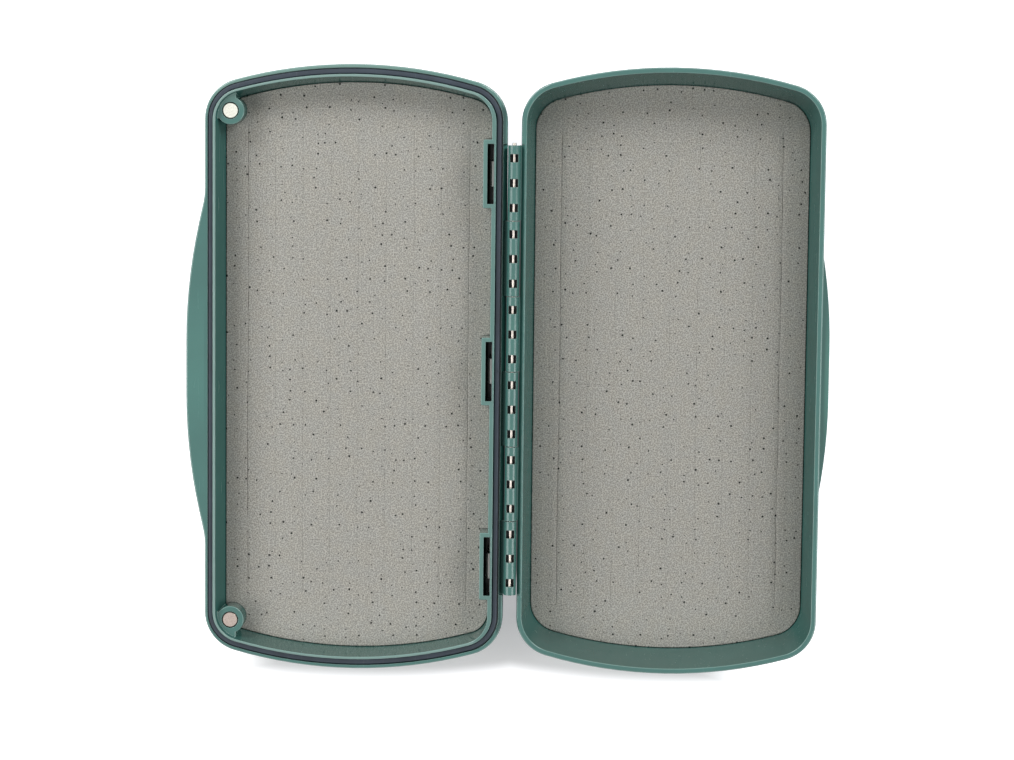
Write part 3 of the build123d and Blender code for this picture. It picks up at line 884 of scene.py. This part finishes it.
def pad_surface(mesh, outline, slits, centre, top, settings, seed):
    """Top of a pad: a grid of vertices with the slits let into it, faced all over."""
    rows = pad_rows()
    rounding = settings.edge_round
    grid = []
    for across, index, step in pad_columns(outline, slits):
        line = []
        for share in rows:
            y = share * outline.half_length(across)
            x = across
            drop = 0.0
            if index is not None:
                gape = slits.gape(index, y)
                x += slits.wave(index, y)
                x += SLIT_STEPS[step] * slits.opening * max(NARROWEST_SLIT, gape)
                drop = SLIT_DROPS[step] * slits.depth * min(1.0, gape)
            inward = outline.edge_distance(x, y)
            if inward < rounding:
                lost = max(0.0, rounding - max(0.0, inward))
                drop += rounding - math.sqrt(max(0.0, rounding**2 - lost**2))
            swell = noise.noise(Vector((x * 24.0, y * 19.0, seed))) - SWELL_LEVEL
            drop -= settings.unevenness * min(0.0, swell)
            line.append(mesh.verts.new((centre.x + x, centre.y + y, top - drop)))
        grid.append(line)
    for left, right in zip(grid, grid[1:]):
        for k in range(len(rows) - 1):
            mesh.faces.new((left[k], right[k], right[k + 1], left[k + 1]))
    return grid


def pad_side(mesh, grid, outline, centre, top, height):
    """Side and underside of a pad, from the rim of its top downward."""
    rim = [line[0] for line in grid]
    rim += grid[-1][1:]
    rim += [line[-1] for line in reversed(grid[:-1])]
    rim += list(reversed(grid[0][1:-1]))
    rings = [rim]
    for share, inset in SIDE_RINGS:
        narrower = 1.0 - inset * MM / outline.half_width
        shorter = 1.0 - inset * MM / outline.apex
        ring = []
        for vert in rim:
            x = centre.x + (vert.co.x - centre.x) * narrower
            y = centre.y + (vert.co.y - centre.y) * shorter
            ring.append(mesh.verts.new((x, y, top - height * share)))
        rings.append(ring)
    for upper, lower in zip(rings, rings[1:]):
        for k in range(len(rim)):
            j = (k + 1) % len(rim)
            mesh.faces.new((upper[k], lower[k], lower[j], upper[j]))
    mesh.faces.new(list(reversed(rings[-1])))


def build_pad(name, low, high, corner, settings, seed):
    """Slit foam pad as one closed mesh, with a rounded rim and open cuts."""
    centre = (low + high) / 2
    half_width = (high.x - low.x) / 2
    half_length = (high.y - low.y) / 2
    outline = PadOutline(half_width, half_length, settings.end_bow_radius, corner)
    slits = SlitField(settings, half_length - settings.slit_end_margin, seed)
    rounding = settings.edge_round
    mesh = bmesh.new()
    grid = pad_surface(mesh, outline, slits, centre, high.z, settings, seed)
    height = high.z - low.z - rounding
    pad_side(mesh, grid, outline, centre, high.z - rounding, height)
    bmesh.ops.recalc_face_normals(mesh, faces=mesh.faces)
    return finished(mesh, name)


def finished(mesh, name):
    """Turns a mesh under construction into an object of the scene."""
    data = bpy.data.meshes.new(name)
    mesh.to_mesh(data)
    mesh.free()
    return add_object(name, data)


def prism(mesh, points, low, high):
    """Upright prism on a closed row of plan points."""
    bottom = [mesh.verts.new((x, y, low)) for x, y in points]
    top = [mesh.verts.new((x, y, high)) for x, y in points]
    mesh.faces.new(list(reversed(bottom)))
    mesh.faces.new(top)
    for k in range(len(points)):
        j = (k + 1) % len(points)
        mesh.faces.new((bottom[k], bottom[j], top[j], top[k]))


def boss_notch(node, gap):
    """Plan of the cut round a magnet's boss, open to the pad's corner."""
    low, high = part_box(node)
    x = (low.x + high.x) / 2
    y = (low.y + high.y) / 2
    side = 1 if y > 0 else -1
    radius = BOSS_RADIUS + gap
    turn = [math.radians(angle) for angle in BOSS_ARC]
    points = [(x + radius * math.cos(a), y + side * radius * math.sin(a)) for a in turn]
    points.append((x + BOSS_NECK + gap, y + side * PAST_END))
    points.append((x - PAST_SIDE, y + side * PAST_END))
    points.append((x - PAST_SIDE, y + side * radius * math.sin(turn[0])))
    return points if side > 0 else list(reversed(points))


def socket_notch(node, gap):
    """Plan of the cut round a leaf socket, open to the pad's side."""
    low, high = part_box(node)
    y = (low.y + high.y) / 2
    half = SOCKET_HALF_LENGTH + gap
    left = high.x + SPRING_PLAY - SOCKET_WIDTH - gap
    right = left + SOCKET_NOTCH_WIDTH
    corner = 0.6 * MM
    eased = corner * 0.3
    return [
        (right, y - half),
        (right, y + half),
        (left + corner, y + half),
        (left + eased, y + half - eased),
        (left, y + half - corner),
        (left, y - half + corner),
        (left + eased, y - half + eased),
        (left + corner, y - half),
    ]


def notch_tool(gap):
    """What is cut from the base pad: round the magnet bosses and the leaf sockets."""
    mesh = bmesh.new()
    low = BASE_FOAM_LOW.z - 2 * MM
    high = BASE_FOAM_HIGH.z + 2 * MM
    plans = [boss_notch(node, gap) for node in MAGNETS]
    plans += [socket_notch(node, gap) for node in SPRINGS]
    for points in plans:
        prism(mesh, points, low, high)
    return finished(mesh, "notches")


def cut_away(piece, tool):
    """Takes the tool's volume out of a piece, then removes the tool."""
    cut = piece.modifiers.new("notch", "BOOLEAN")
    cut.operation = "DIFFERENCE"
    cut.solver = "EXACT"
    cut.object = tool
    graph = bpy.context.evaluated_depsgraph_get()
    result = bpy.data.meshes.new_from_object(piece.evaluated_get(graph))
    piece.modifiers.clear()
    old = piece.data
    piece.data = result
    bpy.data.meshes.remove(old)
    bpy.data.objects.remove(tool)


def smooth_by_angle(piece, degrees):
    """Smooth shading that keeps edges sharper than an angle."""
    mesh = bmesh.new()
    mesh.from_mesh(piece.data)
    limit = math.radians(degrees)
    for edge in mesh.edges:
        edge.smooth = edge.calc_face_angle(0.0) < limit
    for face in mesh.faces:
        face.smooth = True
    mesh.to_mesh(piece.data)
    mesh.free()


def finish_pad(pad, node, body, settings):
    """Smooths, dresses and rides a foam pad, and hides the node that it stands for."""
    smooth_by_angle(pad, degrees=40)
    dress(pad, foam_material(settings))
    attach(pad, body)
    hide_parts(node)


def foam_material(settings):
    """The foam's material, made for the first pad that asks for it."""
    return bpy.data.materials.get("eva_foam") or eva_foam(settings)


# -------------------- operators
class FLYBOX_OT_shells(Operator):
    """Finish the base and the lid in moulded plastic"""

    bl_idname = "flybox.shells"
    bl_label = "Finish Shells"

    def execute(self, context):
        plastic = moulded_plastic(context.scene.flybox_shell)
        dress(NODES["base_shell"], plastic)
        dress(NODES["lid_shell"], plastic)
        return {"FINISHED"}


class FLYBOX_OT_seal(Operator):
    """Finish the soft seal in the base's groove"""

    bl_idname = "flybox.seal"
    bl_label = "Finish Seal"

    def execute(self, context):
        dress(NODES["seal"], seal_rubber(context.scene.flybox_shell))
        return {"FINISHED"}


class FLYBOX_OT_metalwork(Operator):
    """Finish the hinge pin, the leaf springs and the magnets"""

    bl_idname = "flybox.metalwork"
    bl_label = "Finish Metalwork"

    def execute(self, context):
        metal = context.scene.flybox_metal
        wire = drawn_wire("hinge_wire", metal.pin_colour, 0.32, (9000.0, 250.0, 9000.0))
        dress(NODES["hinge_pin"], wire)
        along = (6000.0, 300.0, 6000.0)
        strip = drawn_wire("spring_strip", metal.spring_colour, 0.5, along, metallic=0.05)
        for node in SPRINGS:
            dress(NODES[node], strip)
        dress(NODES["magnet_upper"], plated_magnet("plated_magnet", metal.magnet_colour))
        dress(NODES["magnet_lower"], plated_magnet("worn_magnet", metal.worn_colour))
        return {"FINISHED"}


class FLYBOX_OT_base_pad(Operator):
    """Make the slit foam pad of the base, notched round bosses and sockets"""

    bl_idname = "flybox.base_pad"
    bl_label = "Make Base Pad"

    def execute(self, context):
        settings = context.scene.flybox_pad
        corner = settings.base_corner
        pad = build_pad("base_pad", BASE_FOAM_LOW, BASE_FOAM_HIGH, corner, settings, seed=1.7)
        cut_away(pad, notch_tool(NOTCH_GAP))
        finish_pad(pad, "base_foam", "base", settings)
        return {"FINISHED"}


class FLYBOX_OT_lid_pad(Operator):
    """Make the slit foam pad of the lid"""

    bl_idname = "flybox.lid_pad"
    bl_label = "Make Lid Pad"

    def execute(self, context):
        settings = context.scene.flybox_pad
        corner = settings.lid_corner
        pad = build_pad("lid_pad", LID_FOAM_LOW, LID_FOAM_HIGH, corner, settings, seed=5.2)
        finish_pad(pad, "lid_foam", "lid", settings)
        return {"FINISHED"}


# -------------------- stage
FLOOR_HALF = 3.0
FLOOR_SHIFT = 50.0 * MM
FLOOR_DROP = 0.2 * MM
AIM_HEIGHT = 10.0 * MM
CAMERA_PLACE = (0.08739, 0.10828, 1.05024)
CAMERA_TURN = (-6.14695, 2.00034, 0.62549)

# Soft boxes: name, setting of its power, share of that, size, bearing and elevation
SOFT_BOXES = (
    ("soft_box_back_left", "back_power", 1.0, 0.5, 132, 29),
    ("soft_box_back_right", "back_power", 1.0, 0.5, 48, 29),
    ("soft_box_left", "side_power", 1.0, 0.8, 190, 42),
    ("soft_box_right", "side_power", 0.85, 0.7, 340, 36),
)


def background_rays(w):
    """1 for rays that should see the plain background: camera, mirror and glass."""
    path = w.node("ShaderNodeLightPath")
    seen = w.math("MAXIMUM", path.outputs["Is Camera Ray"], path.outputs["Is Glossy Ray"])
    return w.math("MAXIMUM", seen, path.outputs["Is Transmission Ray"])


def table_lift(w, settings):
    """How much of the table's white is its own: all of it outside a shape drawn round the box; inside it
    the lift is cut, a painted shadow that is deeper toward the front edge and deepest in the gap under
    the hinge.
    """
    x, y, _ = w.split(w.object_place())
    off_middle = w.math("MINIMUM", w.math("ABSOLUTE", x), w.distance(x, LID_MIDDLE_X))
    bow = w.product(off_middle, off_middle, 1.4)
    back = w.ramp(y, 50.0 * MM, 75.0 * MM)
    front = w.ramp(w.math("SUBTRACT", y, bow), -108.8 * MM, -116.0 * MM)
    left = w.ramp(x, -26.0 * MM, -56.0 * MM)
    right = w.ramp(x, 118.0 * MM, 142.0 * MM)
    beyond = w.math("MAXIMUM", w.math("MAXIMUM", back, front), w.math("MAXIMUM", left, right))
    under_box = settings.floor_lift
    # Painted shadow: less lift toward the front edge, and far less in the gap under the hinge.
    beside = w.ramp(y, -85.0 * MM, -104.0 * MM, under_box, under_box * 0.5)
    off_pin = w.ramp(w.distance(x, PIN_X), 3.5 * MM, 9.0 * MM)
    past_pin = w.ramp(y, -71.5 * MM, -79.5 * MM)
    painted_gap_shadow = w.fade(w.math("MAXIMUM", off_pin, past_pin), 0.22, 1.0)
    return w.fade(beyond, w.product(beside, painted_gap_shadow), 1.0, smooth=False)


def white_table(settings):
    """White that takes shadows from above, and that is clear from below."""
    material = bpy.data.materials.new("white_table")
    w = emptied(material)
    output = w.node("ShaderNodeOutputMaterial")
    matt = w.node("ShaderNodeBsdfDiffuse")
    matt.inputs["Color"].default_value = (0.8, 0.8, 0.8, 1.0)
    glow = w.node("ShaderNodeEmission")
    glow.inputs["Color"].default_value = (0.97, 0.975, 1.0, 1.0)
    w.plug(w.product(table_lift(w, settings), background_rays(w)), glow.inputs["Strength"])
    both = w.node("ShaderNodeAddShader")
    w.plug(matt.outputs[0], both.inputs[0])
    w.plug(glow.outputs[0], both.inputs[1])
    one_sided = w.node("ShaderNodeMixShader")
    w.plug(w.node("ShaderNodeNewGeometry").outputs["Backfacing"], one_sided.inputs[0])
    w.plug(both.outputs[0], one_sided.inputs[1])
    w.plug(w.node("ShaderNodeBsdfTransparent").outputs[0], one_sided.inputs[2])
    w.plug(one_sided.outputs[0], output.inputs["Surface"])
    return material


def make_floor(settings):
    """Wide white table that keeps the object's shadow."""
    data = bpy.data.meshes.new("floor")
    corners = ((-1, -1), (1, -1), (1, 1), (-1, 1))
    verts = [(x * FLOOR_HALF + FLOOR_SHIFT, y * FLOOR_HALF, -FLOOR_DROP) for x, y in corners]
    data.from_pydata(verts, [], [(0, 1, 2, 3)])
    floor = add_object("floor", data)
    dress(floor, white_table(settings))


def make_sky(settings):
    """Even white sky: full white where it is seen, softer where it lights."""
    world = bpy.data.worlds.new("studio")
    bpy.context.scene.world = world
    w = emptied(world)
    output = w.node("ShaderNodeOutputWorld")
    sky = w.node("ShaderNodeBackground")
    sky.inputs["Color"].default_value = (1.0, 1.0, 1.0, 1.0)
    strength = w.fade(background_rays(w), settings.sky_strength, 1.0, smooth=False)
    w.plug(strength, sky.inputs["Strength"])
    w.plug(sky.outputs[0], output.inputs["Surface"])


def make_lamp(name, power, size, distance, bearing, elevation):
    """Square soft box aimed at the middle of the box."""
    data = bpy.data.lights.new(name, "AREA")
    data.shape = "SQUARE"
    data.size = size
    data.energy = power
    lamp = add_object(name, data)
    low, high = CAD_BOX
    middle = Vector(((low[0] + high[0]) / 2, (low[1] + high[1]) / 2, AIM_HEIGHT))
    turn, lift = math.radians(bearing), math.radians(elevation)
    flat = math.cos(lift)
    ray = Vector((flat * math.cos(turn), flat * math.sin(turn), math.sin(lift)))
    lamp.location = middle + ray * distance
    lamp.rotation_euler = ray.to_track_quat("Z", "Y").to_euler()


def make_camera(settings):
    """Camera almost straight above, looking down on the open box."""
    data = bpy.data.cameras.new("camera")
    data.sensor_width = 36.0
    data.sensor_fit = "HORIZONTAL"
    data.lens = settings.camera_lens
    data.clip_start = 0.01
    data.clip_end = 50.0
    camera = add_object("camera", data)
    camera.location = CAMERA_PLACE
    camera.rotation_euler = [math.radians(angle) for angle in CAMERA_TURN]
    bpy.context.scene.camera = camera


class FLYBOX_OT_stage(Operator):
    """Set up the table, the sky, the soft boxes and the camera"""

    bl_idname = "flybox.stage"
    bl_label = "Make Stage"

    def execute(self, context):
        settings = context.scene.flybox_stage
        context.scene.view_settings.view_transform = "Standard"
        make_camera(settings)
        make_sky(settings)
        make_floor(settings)
        for name, power, share, size, bearing, elevation in SOFT_BOXES:
            watts = getattr(settings, power) * share
            make_lamp(name, watts, size, settings.lamp_distance, bearing, elevation)
        return {"FINISHED"}


class FLYBOX_PT_panel(Panel):
    """Settings and steps of the fly box"""

    bl_label = "Fly Box"
    bl_idname = "FLYBOX_PT_panel"
    bl_space_type = "VIEW_3D"
    bl_region_type = "UI"
    bl_category = "Fly Box"

    def draw(self, context):
        scene = context.scene
        for title, group, steps in PANEL_ROWS:
            box = self.layout.box()
            box.label(text=title)
            settings = getattr(scene, group)
            for key in settings.__annotations__:
                box.prop(settings, key)
            for step in steps:
                box.operator(step)


PANEL_ROWS = (
    ("Shells and seal", "flybox_shell", ("flybox.shells", "flybox.seal")),
    ("Foam pads", "flybox_pad", ("flybox.base_pad", "flybox.lid_pad")),
    ("Metalwork", "flybox_metal", ("flybox.metalwork",)),
    ("Stage", "flybox_stage", ("flybox.stage",)),
)

GROUPS = (
    ("flybox_shell", ShellSettings),
    ("flybox_pad", PadSettings),
    ("flybox_metal", MetalSettings),
    ("flybox_stage", StageSettings),
)

OPERATORS = (
    FLYBOX_OT_shells,
    FLYBOX_OT_seal,
    FLYBOX_OT_metalwork,
    FLYBOX_OT_base_pad,
    FLYBOX_OT_lid_pad,
    FLYBOX_OT_stage,
)


def register():
    for name, group in GROUPS:
        bpy.utils.register_class(group)
        setattr(bpy.types.Scene, name, PointerProperty(type=group))
    for operator in OPERATORS:
        bpy.utils.register_class(operator)
    bpy.utils.register_class(FLYBOX_PT_panel)


def unregister():
    bpy.utils.unregister_class(FLYBOX_PT_panel)
    for operator in reversed(OPERATORS):
        bpy.utils.unregister_class(operator)
    for name, group in reversed(GROUPS):
        delattr(bpy.types.Scene, name)
        bpy.utils.unregister_class(group)


def main():
    register()
    bpy.ops.flybox.shells()
    bpy.ops.flybox.seal()
    bpy.ops.flybox.metalwork()
    bpy.ops.flybox.base_pad()
    bpy.ops.flybox.lid_pad()
    bpy.ops.flybox.stage()


if __name__ == "__main__":
    main()
